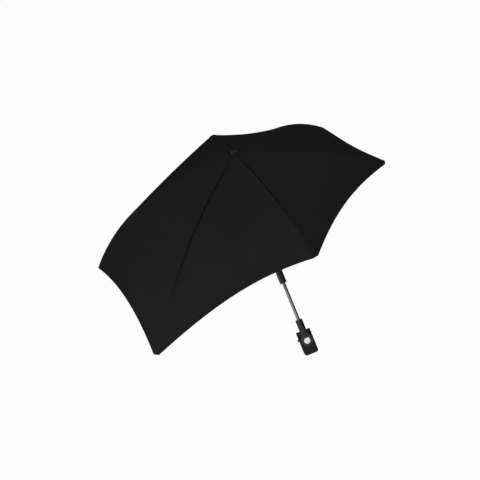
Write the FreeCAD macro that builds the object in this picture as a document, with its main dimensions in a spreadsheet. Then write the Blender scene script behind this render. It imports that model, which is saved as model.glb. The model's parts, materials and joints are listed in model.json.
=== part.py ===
import FreeCAD, Part
import math
import os
import Sketcher
from FreeCAD import Placement, Rotation, Vector

# Pram parasol: a six-ribbed cloth canopy on a slim two-piece pole with a tilting knuckle,
# carried by a round swivel joint on a clip that closes round a pushchair's tube.
# The origin is the centre of the tube seat and +Z runs up the lower pole. The knuckle is bent over the face with the
# round button, towards -Y, and the long front of the canopy points to the left of that face, towards -X.

SIZES = {
    # clip on the pushchair's tube
    "seat_radius": 10.0,
    "seat_pad": 1.2,
    "clip_wall": 4.6,
    "clip_above": 23.0,
    "clip_below": 30.8,
    "clip_parting": 0.4,
    "clip_corner": 5.6,
    "jaw_half_length": 21.0,
    "pad_half_length": 20.0,
    "pad_angle": 150.0,
    "knuckle_radius": 2.6,
    "knuckle_half_length": 7.5,
    "knuckle_outer_end": 20.0,
    "hinge_pin_radius": 1.1,
    "tab_reach": 2.6,
    "tab_depth": 7.0,
    "tab_height": 5.4,
    "tab_rise": 4.6,
    "notch_height": 4.6,
    "notch_depth": 2.0,
    # swivel joint with its round button
    "swivel_gap": 0.5,
    "swivel_pin_radius": 2.5,
    "swivel_head_radius": 4.5,
    "swivel_head_height": 2.0,
    "boss_radius": 13.0,
    "boss_depth": 14.0,
    "boss_web": 7.5,
    "flare_radius": 11.6,
    "flare_foot": 4.0,
    "flare_top": 25.0,
    "ring_radius": 5.0,
    "ring_thickness": 1.0,
    "disc_radius": 7.0,
    "disc_thickness": 3.0,
    "disc_proud": 0.8,
    "disc_travel": 1.5,
    # pole
    "pole_radius": 3.6,
    "pole_wall": 0.8,
    "sleeve_radius": 7.7,
    "collar_top": 48.4,
    "socket_depth": 24.0,
    "knee_height": 172.8,
    "knee_bend_angle": 39.5,
    "sleeve_drop": 38.9,
    "fork_rise": 15.0,
    "knee_gap": 1.2,
    "knee_seat": 7.0,
    "tongue_thickness": 5.0,
    "tongue_radius": 6.4,
    "knee_pin_radius": 2.0,
    "knee_pin_inset": 0.3,
    "knee_button_radius": 4.0,
    "knee_button_thickness": 2.0,
    "knee_button_proud": 0.8,
    "knee_button_floor": 2.3,
    # crown and runner
    "pivot_height": 462.8,
    "apex_above": 5.0,
    "pivot_radius": 9.0,
    "hub_radius": 11.0,
    "hub_above": 3.5,
    "hub_below": 8.0,
    "hub_roof": 1.2,
    "slot_width": 3.4,
    "slot_floor": 6.8,
    "wire_radius": 0.6,
    "runner_half_flange": 5.0,
    "runner_below": 12.0,
    "runner_above": 9.0,
    "runner_rim": 0.6,
    "push_radius": 2.3,
    "push_inner": 5.4,
    "push_outer": 8.6,
    "push_azimuth": 33.6,
    "finial_radius": 7.0,
    "finial_height": 7.0,
    "finial_stem": 9.0,
    "finial_gap": 0.3,
    # ribs, stretchers and their joints
    "rib_radius": 1.25,
    "rib_short": 5.0,
    "eye_radius": 2.0,
    "eye_width": 2.6,
    "link_reach": 130.0,
    "link_angle": 12.4,
    "link_offset": 4.0,
    "stretcher_radius": 1.2,
    "stretcher_eye": 1.8,
    "rivet_radius": 1.0,
    "clip_block_length": 8.0,
    "clip_block_width": 5.6,
    "clip_block_top": 0.5,
    "cap_radius": 1.7,
    "cap_length": 8.0,
    "cap_cover": 6.0,
    # canopy
    "canopy_azimuth": -18.9,
    "front_reach": 389.0,
    "front_drop": 204.5,
    "side_reach": 405.0,
    "side_drop": 155.0,
    "side_azimuth": 67.2,
    "rear_reach": 273.5,
    "rear_drop": 113.5,
    "rear_azimuth": 121.0,
    "back_reach": 280.0,
    "back_drop": 95.5,
    "cloth_thickness": 0.6,
    "cloth_inner": 4.6,
    "cloth_lift": 0.75,
    "pocket_half_width": 5.7,
    "ridge_half_width": 0.6,
    "crown_lift": 2.7,
    "crown_spread": 30.0,
    "front_scallop": 0.042,
    "side_scallop": 0.063,
    "back_scallop": 0.058,
    "front_sag": -0.018,
    "side_sag": 0.014,
    "back_sag": 0.0,
    "cloth_split": 0.2,
    # clearances
    "seat_fit": 0.05,
    "running_fit": 0.06,
    "link_fit": 0.2,
}

doc = FreeCAD.newDocument("pram_parasol")
sheet = doc.addObject("Spreadsheet::Sheet", "Dims")
parts = []


class Size:
    """A length in millimetres together with the sheet expression that gives it."""

    def __init__(self, value, text):
        self.value = value
        self.text = text

    def _join(self, other, sign, value):
        other_text = other.text if isinstance(other, Size) else repr(other)
        return Size(value, f"({self.text} {sign} {other_text})")

    def __add__(self, other):
        return self._join(other, "+", self.value + number(other))

    def __sub__(self, other):
        return self._join(other, "-", self.value - number(other))

    def __mul__(self, other):
        return self._join(other, "*", self.value * number(other))

    def __neg__(self):
        return Size(-self.value, f"(-{self.text})")


def number(size):
    """The plain number of a size or a number."""
    return size.value if isinstance(size, Size) else float(size)


def fill_sheet():
    """Writes every driving dimension to the sheet under its own name."""
    for row, (name, value) in enumerate(SIZES.items(), start=1):
        sheet.set(f"A{row}", name)
        sheet.set(f"B{row}", str(value))
        sheet.setAlias(f"B{row}", name)
    doc.recompute()


class Dimensions:
    """Gives each driving dimension of the sheet by name."""

    def __getattr__(self, name):
        return Size(float(sheet.get(name)), f"Dims.{name}")


d = Dimensions()
UP = Rotation()
ALONG_Y = Rotation(Vector(1, 0, 0), -90)


def bind(obj, prop, size):
    """Ties a property to its sheet expression, or sets a plain number."""
    if isinstance(size, Size):
        obj.setExpression(prop, size.text)
    else:
        setattr(obj, prop, size)


def at(x=0, y=0, z=0, turn=UP):
    """A placement from sizes or numbers."""
    return Placement(Vector(number(x), number(y), number(z)), turn)


def rod(name, radius, length, place):
    """A round solid standing on its placement."""
    obj = doc.addObject("Part::Cylinder", name)
    bind(obj, "Radius", radius)
    bind(obj, "Height", length)
    obj.Placement = place
    return obj


def cone(name, foot, top, height, place):
    """A round solid that narrows from its foot to its top."""
    obj = doc.addObject("Part::Cone", name)
    bind(obj, "Radius1", foot)
    bind(obj, "Radius2", top)
    bind(obj, "Height", height)
    obj.Placement = place
    return obj


def block(name, length, width, height, place):
    """A box from its lowest corner."""
    obj = doc.addObject("Part::Box", name)
    bind(obj, "Length", length)
    bind(obj, "Width", width)
    bind(obj, "Height", height)
    obj.Placement = place
    return obj


def torus(name, ring, wire, place):
    """A closed wire ring."""
    obj = doc.addObject("Part::Torus", name)
    bind(obj, "Radius1", ring)
    bind(obj, "Radius2", wire)
    obj.Placement = place
    return obj


def join(name, *solids):
    """The union of several solids."""
    obj = doc.addObject("Part::MultiFuse", name)
    obj.Shapes = list(solids)
    return obj


def common(name, *solids):
    """What several solids share."""
    obj = doc.addObject("Part::MultiCommon", name)
    obj.Shapes = list(solids)
    return obj


def cut(name, base, *tools):
    """A solid with tools taken from it."""
    obj = doc.addObject("Part::Cut", name)
    obj.Base = base
    obj.Tool = tools[0] if len(tools) == 1 else join(f"{name}_tools", *tools)
    return obj


def rounded(name, base, radius, pick):
    """A solid with the edges that pick accepts rounded."""
    doc.recompute()
    obj = doc.addObject("Part::Fillet", name)
    obj.Base = base
    edges = [i for i, edge in enumerate(base.Shape.Edges, start=1) if pick(edge)]
    obj.Edges = [(i, number(radius), number(radius)) for i in edges]
    return obj


def finished(obj, label):
    """Names a sub-part and adds it to the list that is written."""
    obj.Label = label
    parts.append(obj)
    return obj


def plane_of(body, role):
    """One of a body's own origin planes."""
    return next(f for f in body.Origin.OriginFeatures if f.Role == role)


def outline(sketch, points):
    """A closed outline whose corners are each held by their two distances from the origin."""
    count = len(points)
    corners = [Vector(number(x), number(y), 0) for x, y in points]
    for i in range(count):
        sketch.addGeometry(Part.LineSegment(corners[i], corners[(i + 1) % count]))
    for i in range(count):
        sketch.addConstraint(Sketcher.Constraint("Coincident", i, 2, (i + 1) % count, 1))
    for i, point in enumerate(points):
        for kind, size in zip(("DistanceX", "DistanceY"), point):
            index = sketch.addConstraint(Sketcher.Constraint(kind, -1, 1, i, 1, number(size)))
            if isinstance(size, Size):
                sketch.setExpression(f"Constraints[{index}]", size.text)


def turned(label, points, place):
    """A piece turned about Z from an outline of radius and height."""
    body = doc.addObject("PartDesign::Body", label)
    sketch = body.newObject("Sketcher::SketchObject", f"{label}_profile")
    sketch.AttachmentSupport = (plane_of(body, "XZ_Plane"), [""])
    sketch.MapMode = "FlatFace"
    outline(sketch, points)
    revolution = body.newObject("PartDesign::Revolution", f"{label}_turn")
    revolution.Profile = sketch
    revolution.ReferenceAxis = (sketch, ["V_Axis"])
    revolution.Angle = 360
    body.Tip = revolution
    body.Placement = place
    return finished(body, label)


def radial_block(name, inner, outer, width, low, high, azimuth):
    """A slot cutter that runs outward from the pole axis at one azimuth."""
    turn = Rotation(Vector(0, 0, 1), azimuth)
    start = turn.multVec(Vector(number(inner), -number(width) / 2, number(low)))
    return block(name, outer - inner, width, high - low, Placement(start, turn))


def ring_sector(radius, thickness, half_length, sweep):
    """A curved pad: part of a tube wall round the Z axis, from the X axis on."""
    outer = number(radius) + number(thickness)
    tall = 2 * number(half_length)
    foot = Vector(0, 0, -number(half_length))
    wall = Part.makeCylinder(outer, tall, foot, Vector(0, 0, 1), sweep)
    bore = Part.makeCylinder(number(radius), tall, foot, Vector(0, 0, 1), 360)
    return wall.cut(bore)


def shaped(label, shape, place):
    """A sub-part whose shape is worked out directly."""
    obj = doc.addObject("Part::Feature", label)
    obj.Shape = shape
    obj.Placement = place
    return finished(obj, label)


fill_sheet()

# Derived places, each from the named sizes.
BORE = d.seat_radius + d.seat_pad
HALF_WIDTH = BORE + d.clip_wall
HINGE_X = BORE + d.knuckle_radius
POLE_Y = -(HALF_WIDTH + d.swivel_gap + d.sleeve_radius)
ARM_BACK = -POLE_Y - d.boss_depth * 0.5
ARM_FRONT = -POLE_Y + d.boss_depth * 0.5
SLEEVE_BOTTOM = d.knee_height - d.sleeve_drop
KNEE_TOP = d.knee_height + d.fork_rise
LINK_SLOPE = math.radians(number(d.link_angle))
RUNNER_HEIGHT = number(d.pivot_height) - 2 * number(d.link_reach) * math.sin(LINK_SLOPE)
APEX = d.pivot_height + d.apex_above

FRONT = 180.0 + number(d.canopy_azimuth)
RIBS = [
    (FRONT, d.front_reach, d.front_drop),
    (FRONT + number(d.side_azimuth), d.side_reach, d.side_drop),
    (FRONT + number(d.rear_azimuth), d.rear_reach, d.rear_drop),
    (FRONT + 180.0, d.back_reach, d.back_drop),
    (FRONT - number(d.rear_azimuth), d.rear_reach, d.rear_drop),
    (FRONT - number(d.side_azimuth), d.side_reach, d.side_drop),
]
PANELS = [
    (d.front_scallop, d.front_sag),
    (d.side_scallop, d.side_sag),
    (d.back_scallop, d.back_sag),
    (d.back_scallop, d.back_sag),
    (d.side_scallop, d.side_sag),
    (d.front_scallop, d.front_sag),
]


def spoke(azimuth):
    """The placement of a piece drawn in the X-Z plane of one rib, on the pole axis."""
    return at(0, POLE_Y, 0, Rotation(Vector(0, 0, 1), azimuth))


def clip_body():
    """The fixed half of the clip: a plate with rounded lower corners, a thumb notch and half of the tube seat."""
    width = HALF_WIDTH * 2
    depth = HALF_WIDTH - d.clip_parting * 0.5
    tall = d.clip_above + d.clip_below
    plate = block("clip_plate", width, depth, tall, at(-HALF_WIDTH, -HALF_WIDTH, -d.clip_below))
    low = -number(d.clip_below)

    def lower_corner(edge):
        return abs(edge.CenterOfMass.z - low) < 0.01 and abs(abs(edge.CenterOfMass.x) - number(HALF_WIDTH)) < 0.01

    plate = rounded("clip_plate_corners", plate, d.clip_corner, lower_corner)
    notch = block("clip_notch_cut", d.notch_depth + 1, width, d.notch_height,
                  at(-HALF_WIDTH - 1, -HALF_WIDTH - 1, d.tab_rise + d.tab_height * 0.5))
    seat = rod("clip_seat_cut", BORE, tall + 2, at(0, 0, -d.clip_below - 1))
    socket = rod("clip_knuckle_cut", d.knuckle_radius + d.link_fit * 2, (d.knuckle_half_length + d.link_fit) * 2,
                 at(HINGE_X, 0, -d.knuckle_half_length - d.link_fit))
    head = rod("clip_head_cut", d.swivel_head_radius + d.seat_fit, HALF_WIDTH,
               at(0, -BORE - d.swivel_head_height, 0, ALONG_Y))
    shank = rod("clip_shank_cut", d.swivel_pin_radius + d.seat_fit, HALF_WIDTH, at(0, -HALF_WIDTH - 1, 0, ALONG_Y))
    plate = cut("clip_plate_cut", plate, notch, seat, socket, head, shank)
    knuckles = []
    knuckle_tall = d.knuckle_outer_end - d.knuckle_half_length - d.link_fit
    for name, foot in (("low", -d.knuckle_outer_end), ("high", d.knuckle_half_length + d.link_fit)):
        knuckles.append(rod(f"clip_knuckle_{name}", d.knuckle_radius, knuckle_tall, at(HINGE_X, 0, foot)))
    whole = join("clip_whole", plate, *knuckles)
    pin = rod("clip_pin_cut", d.hinge_pin_radius + d.seat_fit, tall, at(HINGE_X, 0, -d.clip_below))
    finished(cut("clip_body_cut", whole, pin), "clamp_body")


def clip_jaw():
    """The hinged half of the clip, with a thumb tab that stands out at its free edge."""
    width = HALF_WIDTH * 2
    start = d.clip_parting * 0.5
    tall = d.jaw_half_length * 2
    shell = block("jaw_shell", width, HALF_WIDTH - start, tall, at(-HALF_WIDTH, start, -d.jaw_half_length))
    back = number(HALF_WIDTH)

    def back_corner(edge):
        middle = edge.CenterOfMass
        return abs(middle.y - back) < 0.01 and abs(abs(middle.x) - back) < 0.01

    shell = rounded("jaw_shell_corners", shell, d.clip_corner, back_corner)
    tab = block("jaw_tab", d.tab_reach + d.clip_wall * 0.5, d.tab_depth, d.tab_height,
                at(-HALF_WIDTH - d.tab_reach, start, d.tab_rise - d.tab_height * 0.5))
    knuckle = rod("jaw_knuckle", d.knuckle_radius, d.knuckle_half_length * 2, at(HINGE_X, 0, -d.knuckle_half_length))
    seat = rod("jaw_seat_cut", BORE, tall + 2, at(0, 0, -d.jaw_half_length - 1))
    room = d.jaw_half_length
    cutters = [seat]
    for name, foot in (("low", -d.knuckle_half_length - d.link_fit - room), ("high", d.knuckle_half_length)):
        cutters.append(rod(f"jaw_room_{name}", d.knuckle_radius + d.link_fit * 2, room + d.link_fit, at(HINGE_X, 0, foot)))
    shell = cut("jaw_shell_cut", join("jaw_with_tab", shell, tab), *cutters)
    whole = join("jaw_whole", shell, knuckle)
    pin = rod("jaw_pin_cut", d.hinge_pin_radius + d.running_fit, tall, at(HINGE_X, 0, -d.jaw_half_length))
    finished(cut("jaw_cut", whole, pin), "clamp_jaw")


def clip_pads_and_pins():
    """Rubber pads in both halves of the seat, the hinge pin, and the pin the arm swivels on with its ring."""
    sweep = number(d.pad_angle)
    start = (180 - sweep) / 2
    for label, side in (("body_pad", 180), ("jaw_pad", 0)):
        turn = Rotation(Vector(0, 0, 1), side + start)
        shaped(label, ring_sector(d.seat_radius, d.seat_pad, d.pad_half_length, sweep), at(turn=turn))
    pin_tall = d.knuckle_outer_end * 2
    finished(rod("jaw_pin_rod", d.hinge_pin_radius, pin_tall, at(HINGE_X, 0, -d.knuckle_outer_end)), "jaw_pin")
    web_front = ARM_BACK + d.boss_web
    length = web_front + d.ring_thickness + d.link_fit * 2 - BORE - d.swivel_head_height
    turned("swivel_pin", [
        (0, 0),
        (d.swivel_head_radius, 0),
        (d.swivel_head_radius, d.swivel_head_height),
        (d.swivel_pin_radius, d.swivel_head_height),
        (d.swivel_pin_radius, d.swivel_head_height + length),
        (0, d.swivel_head_height + length),
    ], at(0, -BORE, 0, Rotation(Vector(1, 0, 0), 90)))
    turned("swivel_ring", [
        (d.swivel_pin_radius + d.seat_fit, 0),
        (d.ring_radius, 0),
        (d.ring_radius, d.ring_thickness),
        (d.swivel_pin_radius + d.seat_fit, d.ring_thickness),
    ], at(0, -web_front - d.link_fit, 0, Rotation(Vector(1, 0, 0), 90)))


def socket_arm():
    """The swivelling arm: a round boss for the joint, and a collar that flares into it and holds the pole's foot."""
    boss = rod("arm_boss", d.boss_radius, d.boss_depth, at(0, -ARM_FRONT, 0, ALONG_Y))
    collar = rod("arm_collar", d.sleeve_radius, d.collar_top, at(0, POLE_Y, 0))
    rise = d.flare_top - d.flare_foot
    funnel = cone("arm_funnel", d.flare_radius, d.sleeve_radius, rise, at(0, POLE_Y, d.flare_foot))
    slab = block("arm_slab", d.boss_radius * 2, d.boss_depth, rise, at(-d.boss_radius, -ARM_FRONT, d.flare_foot))
    whole = join("arm_whole", boss, collar, common("arm_flare", funnel, slab))
    front = POLE_Y - d.sleeve_radius - 1
    bore = rod("arm_bore", d.swivel_pin_radius + d.running_fit, d.sleeve_radius * 2 + 2, at(0, front, 0, ALONG_Y))
    recess = rod("arm_recess", d.disc_radius + d.running_fit, -(ARM_BACK + d.boss_web) - front, at(0, front, 0, ALONG_Y))
    socket = rod("arm_socket", d.pole_radius + d.seat_fit, d.socket_depth + 1,
                 at(0, POLE_Y, d.collar_top - d.socket_depth))
    arm = cut("arm_cut", whole, bore, recess, socket)
    top = number(d.collar_top)

    def top_rim(edge):
        on_top = abs(edge.CenterOfMass.z - top) < 0.01
        return on_top and abs(edge.Length - 2 * math.pi * number(d.sleeve_radius)) < 0.1

    finished(rounded("arm_rounded", arm, d.runner_rim, top_rim), "socket_arm")


def swivel_button():
    """The bright domed disc in the middle of the joint, pressed to free the swivel."""
    rim = d.disc_thickness - d.disc_proud
    turned("swivel_button", [
        (0, 0),
        (d.disc_radius, 0),
        (d.disc_radius, rim),
        (d.disc_radius - d.disc_proud, d.disc_thickness),
        (0, d.disc_thickness),
    ], at(0, -ARM_FRONT - d.disc_proud + d.disc_thickness, 0, Rotation(Vector(1, 0, 0), 90)))


def tube(label, foot, top):
    """One steel tube of the pole."""
    bore = d.pole_radius - d.pole_wall
    turned(label, [(bore, foot), (d.pole_radius, foot), (d.pole_radius, top), (bore, top)], at(0, POLE_Y, 0))


def poles():
    """The lower tube, from the collar to the knee, and the upper one, from the knee to the crown."""
    tube("lower_pole", d.collar_top - d.socket_depth, knee_shoulder() - d.knee_seat * 0.5)
    tube("upper_pole", KNEE_TOP - d.knee_seat, d.pivot_height + d.hub_above)


def knee_shoulder():
    """The top of the knee's lower sleeve, just clear of the fork that turns above it."""
    return d.knee_height - d.sleeve_radius - d.knee_gap


def knee_lower():
    """The lower half of the tilting knee: a long sleeve with a rounded tongue."""
    shoulder = knee_shoulder()
    sleeve = rod("knee_sleeve", d.sleeve_radius, shoulder - SLEEVE_BOTTOM, at(0, POLE_Y, SLEEVE_BOTTOM))
    half = d.tongue_thickness * 0.5
    neck = block("knee_neck", d.tongue_radius * 2, d.tongue_thickness, d.knee_height - shoulder + 1,
                 at(-d.tongue_radius, POLE_Y - half, shoulder - 1))
    nose = rod("knee_nose", d.tongue_radius, d.tongue_thickness, at(0, POLE_Y - half, d.knee_height, ALONG_Y))
    whole = join("knee_lower_whole", sleeve, neck, nose)
    seat = rod("knee_lower_seat", d.pole_radius + d.seat_fit, shoulder - d.knee_seat * 0.5 - SLEEVE_BOTTOM + 1,
               at(0, POLE_Y, SLEEVE_BOTTOM - 1))
    pin = rod("knee_lower_pin", d.knee_pin_radius + d.running_fit, d.sleeve_radius * 4,
              at(0, POLE_Y - d.sleeve_radius * 2, d.knee_height, ALONG_Y))
    finished(cut("knee_lower_cut", whole, seat, pin), "tilt_lower")


def knee_upper():
    """The upper half of the knee: a fork over the tongue, a seat for the upper tube and a recess for the button."""
    stem = rod("fork_stem", d.sleeve_radius, d.fork_rise, at(0, POLE_Y, d.knee_height))
    drum = rod("fork_drum", d.sleeve_radius, d.sleeve_radius * 2, at(0, POLE_Y - d.sleeve_radius, d.knee_height, ALONG_Y))
    post = rod("fork_post", d.sleeve_radius, d.sleeve_radius * 3, at(0, POLE_Y, d.knee_height - d.sleeve_radius * 1.5))
    whole = join("fork_whole", stem, common("fork_cheeks", drum, post))
    gap = d.tongue_thickness + d.link_fit * 2
    low = d.knee_height - d.sleeve_radius * 2
    slot_top = d.knee_height + d.tongue_radius + d.link_fit * 2
    slot = block("fork_slot", d.sleeve_radius * 4, gap, slot_top - low,
                 at(-d.sleeve_radius * 2, POLE_Y - gap * 0.5, low))
    seat = rod("fork_seat", d.pole_radius + d.seat_fit, d.knee_seat + 1, at(0, POLE_Y, KNEE_TOP - d.knee_seat))
    pin = rod("fork_pin", d.knee_pin_radius + d.seat_fit, d.sleeve_radius * 2 - d.knee_pin_inset,
              at(0, POLE_Y - d.sleeve_radius, d.knee_height, ALONG_Y))
    recess = rod("fork_recess", d.knee_button_radius + d.running_fit, d.knee_button_floor + 1,
                 at(0, POLE_Y - d.sleeve_radius - 1, d.knee_height, ALONG_Y))
    finished(cut("fork_cut", whole, slot, seat, pin, recess), "tilt_upper")


def knee_pin_and_button():
    """The cross pin of the knee and the button in front of it."""
    start = POLE_Y - d.sleeve_radius + d.knee_button_floor
    length = d.sleeve_radius * 2 - d.knee_button_floor - d.knee_pin_inset
    finished(rod("knee_pin_rod", d.knee_pin_radius, length, at(0, start, d.knee_height, ALONG_Y)), "tilt_pin")
    front = POLE_Y - d.sleeve_radius - d.knee_button_proud
    edge = d.knee_button_proud * 0.5
    turned("tilt_button", [
        (0, 0),
        (d.knee_button_radius, 0),
        (d.knee_button_radius, d.knee_button_thickness - edge),
        (d.knee_button_radius - edge, d.knee_button_thickness),
        (0, d.knee_button_thickness),
    ], at(0, front + d.knee_button_thickness, d.knee_height, Rotation(Vector(1, 0, 0), 90)))


def slots(name, low, high):
    """The six radial slots of the crown or the runner."""
    cutters = []
    for k, (azimuth, reach, drop) in enumerate(RIBS, start=1):
        cutter = radial_block(f"{name}_slot_{k}", d.slot_floor, d.hub_radius + 2, d.slot_width, low, high, azimuth)
        cutter.Placement = at(0, POLE_Y, 0).multiply(cutter.Placement)
        cutters.append(cutter)
    return cutters


def crown():
    """The fixed hub at the top of the pole, in whose slots the ribs hang on a wire ring."""
    foot = d.pivot_height - d.hub_below
    hub = rod("crown_hub", d.hub_radius, d.hub_below + d.hub_above, at(0, POLE_Y, foot))
    bore = rod("crown_bore", d.pole_radius + d.seat_fit, d.hub_below + d.hub_above + 2, at(0, POLE_Y, foot - 1))
    groove = torus("crown_groove", d.pivot_radius, d.wire_radius + d.seat_fit, at(0, POLE_Y, d.pivot_height))
    openings = slots("crown", foot - 1, d.pivot_height + d.hub_above - d.hub_roof)
    finished(cut("crown_cut", hub, bore, groove, *openings), "crown")
    wire = torus("crown_wire_ring", d.pivot_radius, d.wire_radius, at(0, POLE_Y, d.pivot_height))
    finished(wire, "crown_wire")


def finial():
    """The small domed cap that pins the cloth to the top of the pole."""
    stem = d.pole_radius - d.pole_wall - d.seat_fit
    seat = d.pivot_height + d.rib_radius + d.cloth_lift + d.crown_lift + d.cloth_thickness + d.finial_gap
    turned("finial", [
        (0, seat - d.finial_stem),
        (stem, seat - d.finial_stem),
        (stem, seat),
        (d.finial_radius, seat),
        (d.finial_radius, seat + d.finial_height * 0.35),
        (d.finial_radius * 0.8, seat + d.finial_height * 0.75),
        (d.finial_radius * 0.4, seat + d.finial_height),
        (0, seat + d.finial_height),
    ], at(0, POLE_Y, 0))


def runner():
    """The sliding hub that carries the stretchers, with its button hole between two slots."""
    half = d.runner_half_flange
    flange = rod("runner_flange", d.hub_radius, half * 2, at(0, POLE_Y, RUNNER_HEIGHT - number(half)))
    sleeve = rod("runner_sleeve", d.slot_floor, d.runner_below + d.runner_above,
                 at(0, POLE_Y, RUNNER_HEIGHT - number(d.runner_below)))
    whole = join("runner_whole", flange, sleeve)
    bore = rod("runner_bore", d.pole_radius + d.running_fit, d.runner_below + d.runner_above + 2,
               at(0, POLE_Y, RUNNER_HEIGHT - number(d.runner_below) - 1))
    reach = d.hub_radius - d.pole_radius + 1
    hole = rod("runner_button_hole", d.push_radius + d.running_fit, reach, push_place(d.pole_radius - 1))
    low = Size(RUNNER_HEIGHT, repr(RUNNER_HEIGHT)) - half - 1
    openings = slots("runner", low, low + half * 2 + 2)
    finished(cut("runner_cut", whole, bore, hole, *openings), "runner")
    button = rod("runner_button_rod", d.push_radius, d.push_outer - d.push_inner, push_place(d.push_inner))
    doc.recompute()
    tip = number(d.push_outer)

    def outer_rim(edge):
        middle = edge.CenterOfMass
        return abs(math.hypot(middle.x, middle.y - number(POLE_Y)) - tip) < 0.01

    finished(rounded("runner_button_rounded", button, d.runner_rim, outer_rim), "runner_button")


def push_place(radius):
    """The place of the runner's button, lying along its own azimuth."""
    azimuth = FRONT + number(d.push_azimuth)
    outward = Rotation(Vector(0, 0, 1), azimuth).multVec(Vector(1, 0, 0))
    middle = RUNNER_HEIGHT - (number(d.runner_below) + number(d.runner_half_flange)) / 2
    base = Vector(0, number(POLE_Y), middle) + outward * number(radius)
    return Placement(base, Rotation(Vector(0, 0, 1), outward))


def arc_of(reach, drop):
    """Centre and radius of the arc of a rib: from the crown pivot, over its stretcher joint, to its tip."""
    start = Vector(number(d.pivot_radius), number(d.pivot_height), 0)
    joint = Vector(start.x + number(d.link_reach) * math.cos(LINK_SLOPE),
                   start.y - number(d.link_reach) * math.sin(LINK_SLOPE) + number(d.link_offset), 0)
    tip = Vector(number(reach), number(APEX) - number(drop), 0)
    circle = Part.ArcOfCircle(start, joint, tip)
    return start, joint, tip, circle.Center, circle.Radius


def height_on_arc(centre, radius, reach):
    """The height of a rib's middle line at a distance from the pole axis."""
    return centre.y + math.sqrt(radius ** 2 - (reach - centre.x) ** 2)


def flat(point):
    """A point of a rib's own plane, drawn in X and Z."""
    return Vector(point.x, 0, point.y)


def slope_on_arc(centre, point):
    """The direction of a rib, outward, at a point of its arc."""
    out = point - centre
    return Vector(out.y, -out.x, 0).normalize()


def rib_end(tip, centre, radius):
    """Where the rod of a rib stops, a little short of the corner of the cloth."""
    turn = Rotation(Vector(0, 0, 1), math.degrees(number(d.rib_short) / radius))
    return centre + turn.multVec(tip - centre)


def rib(label, reach, drop, place):
    """A bent fibre rod with an eye that turns on the crown's wire."""
    start, joint, tip, centre, radius = arc_of(reach, drop)
    end = rib_end(tip, centre, radius)
    path = Part.Wire([Part.Arc(flat(start), flat(joint), flat(end)).toShape()])
    section = Part.Wire([Part.makeCircle(number(d.rib_radius), flat(start), flat(slope_on_arc(centre, start)))])
    bar = path.makePipeShell([section], True, False)
    half = number(d.eye_width) / 2
    base = flat(start) - Vector(0, half, 0)
    eye = Part.makeCylinder(number(d.eye_radius), 2 * half, base, Vector(0, 1, 0))
    hole = Part.makeCylinder(number(d.wire_radius + d.link_fit), 8 * half, base - Vector(0, 3 * half, 0), Vector(0, 1, 0))
    shaped(label, bar.fuse(eye).cut(hole), place)


def rib_cap(label, reach, drop, place):
    """The blunt cap on the end of a rib, inside the pocket at a corner of the cloth."""
    start, joint, tip, centre, radius = arc_of(reach, drop)
    end = rib_end(tip, centre, radius)
    along = flat(slope_on_arc(centre, end))
    foot = flat(end) - along * number(d.cap_cover)
    straight = number(d.cap_length - d.cap_radius)
    body = Part.makeCylinder(number(d.cap_radius), straight, foot, along)
    nose = Part.makeSphere(number(d.cap_radius), foot + along * straight)
    hole = Part.makeCylinder(number(d.rib_radius + d.seat_fit), number(d.cap_cover), foot, along)
    shaped(label, body.fuse(nose).cut(hole), place)


def rib_joint(label, reach, drop, place):
    """The block under a rib that forks round the end of a stretcher."""
    start, joint, tip, centre, radius = arc_of(reach, drop)
    along = flat(slope_on_arc(centre, joint))
    length = number(d.clip_block_length)
    width = number(d.clip_block_width)
    top = number(d.clip_block_top)
    bottom = number(d.link_offset + d.stretcher_eye + d.link_fit)
    turn = Rotation(Vector(1, 0, 0), along)
    body = Part.makeBox(length, width, top + bottom, Vector(-length / 2, -width / 2, -bottom))
    gap = number(d.eye_width + d.link_fit)
    ceiling = number(d.link_offset - d.stretcher_eye - d.link_fit * 2)
    slot = Part.makeBox(length * 2, gap, bottom, Vector(-length, -gap / 2, -bottom - ceiling))
    bore = Part.makeCylinder(number(d.rib_radius + d.seat_fit), length * 2, Vector(-length, 0, 0), Vector(1, 0, 0))
    body = body.cut(slot).cut(bore)
    body.Placement = Placement(flat(joint), turn)
    body = body.cut(rivet_rod(joint, d.rivet_radius + d.seat_fit))
    shaped(label, body, place)


def rivet_rod(joint, radius):
    """A cross rod at the stretcher's pivot below a rib."""
    width = number(d.clip_block_width)
    middle = flat(joint) - Vector(0, width / 2, number(d.link_offset))
    return Part.makeCylinder(number(radius), width, middle, Vector(0, 1, 0))


def stretcher(label, place):
    """The strut from the runner up to a rib."""
    start, joint, tip, centre, radius = arc_of(d.front_reach, d.front_drop)
    outer = flat(joint) - Vector(0, 0, number(d.link_offset))
    inner = Vector(number(d.pivot_radius), 0, RUNNER_HEIGHT)
    half = number(d.eye_width) / 2
    side = Vector(0, half, 0)
    bar = Part.makeCylinder(number(d.stretcher_radius), (outer - inner).Length, inner, outer - inner)
    eye = Part.makeCylinder(number(d.stretcher_eye), 2 * half, outer - side, Vector(0, 1, 0))
    foot = Part.makeCylinder(number(d.stretcher_eye), 2 * half, inner - side, Vector(0, 1, 0))
    hole = Part.makeCylinder(number(d.rivet_radius + d.running_fit), 8 * half, outer - side * 4, Vector(0, 1, 0))
    shaped(label, bar.fuse(eye).fuse(foot).cut(hole), place)


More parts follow.
